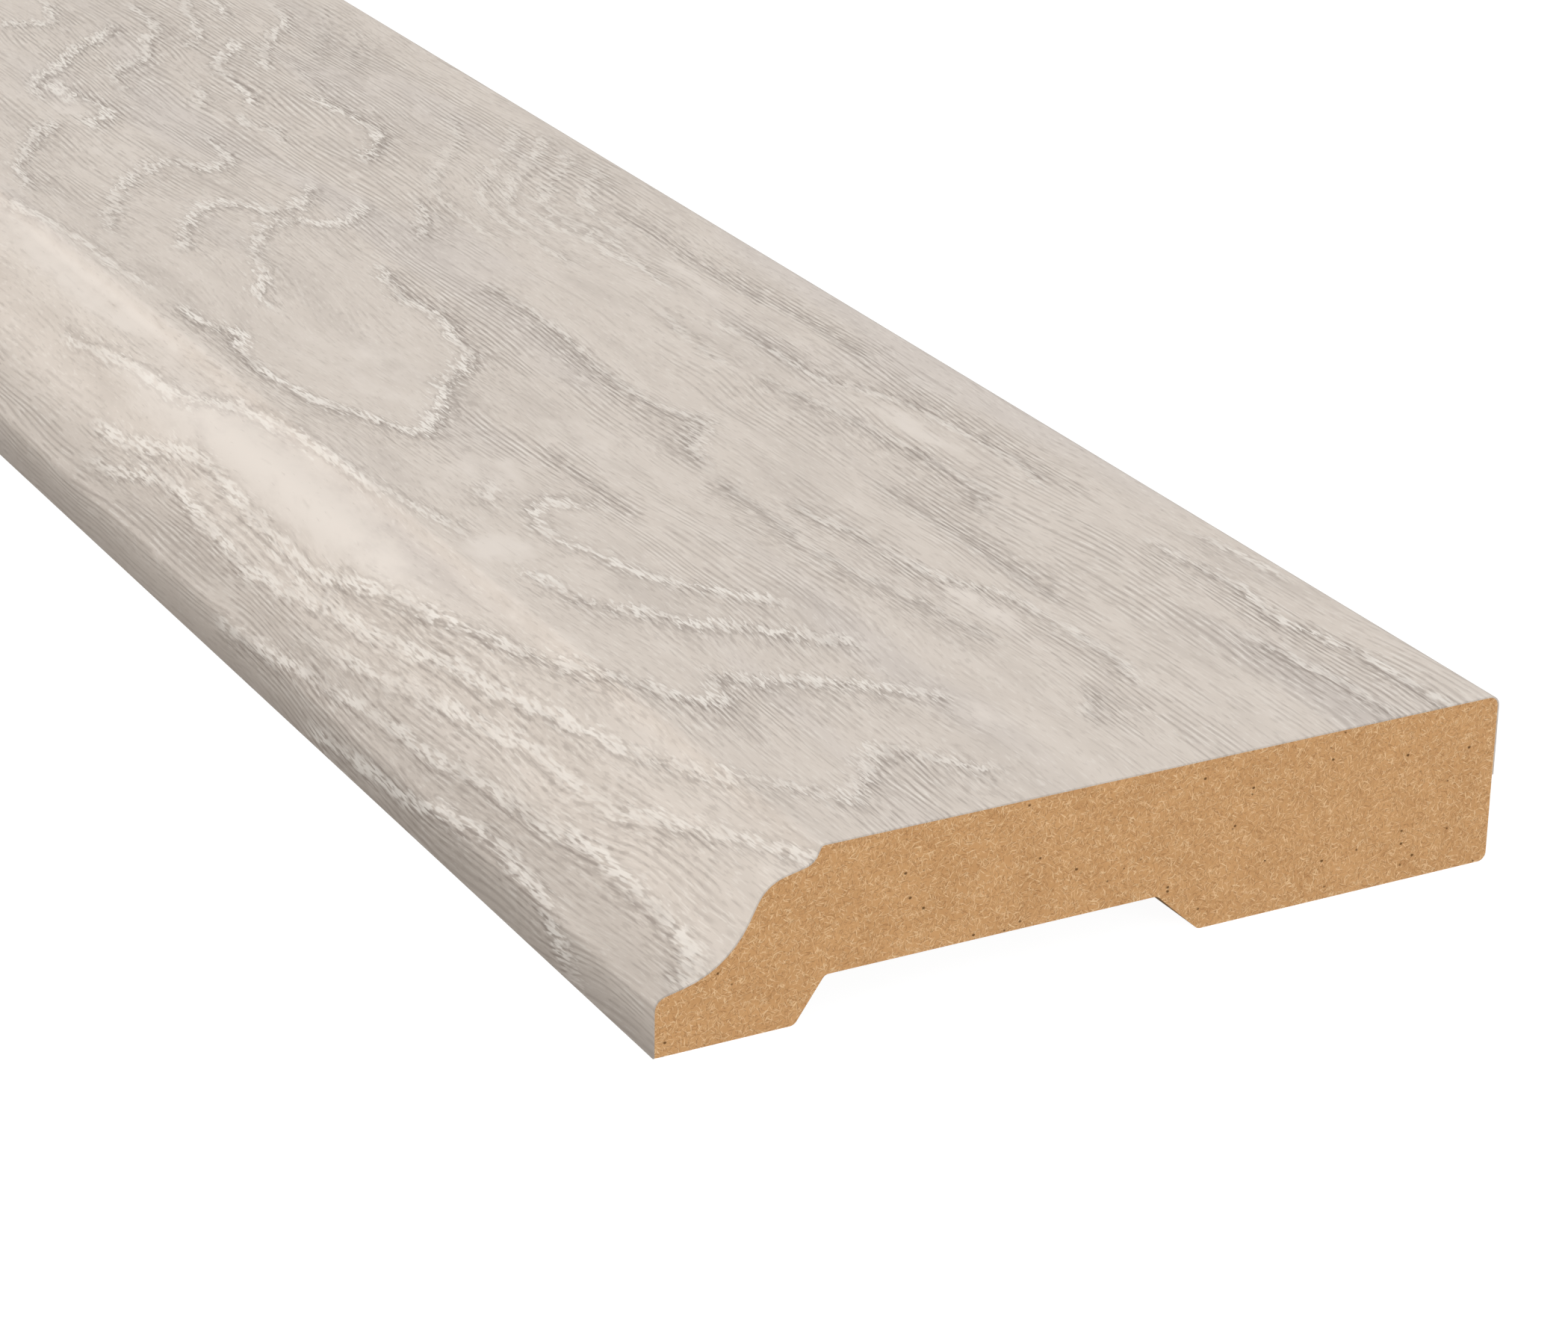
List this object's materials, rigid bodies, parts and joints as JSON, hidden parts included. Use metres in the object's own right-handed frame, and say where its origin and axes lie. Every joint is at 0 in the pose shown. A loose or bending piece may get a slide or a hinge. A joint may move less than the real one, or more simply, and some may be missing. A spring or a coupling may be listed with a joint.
{
  "type": "baseboard",
  "caption": "Wood-look baseboard: moulded fibreboard core with a stepped ogee edge and relieved back, wrapped in limed-oak laminate.",
  "frame": {"origin": "middle of the board's length and width, on the plane of its back", "axes": "+X along the length, +Y from the moulded top edge to the plain floor edge, +Z from the back to the face"},
  "size_m": [2.4, 0.0826, 0.0159],
  "materials": {
    "mdf": "sawn fibreboard, matt",
    "laminate": "printed limed-oak decor film, satin"
  },
  "bodies": {
    "root": {"mdf_core": "mdf", "laminate_wrap": "laminate"}
  },
  "joints": []
}
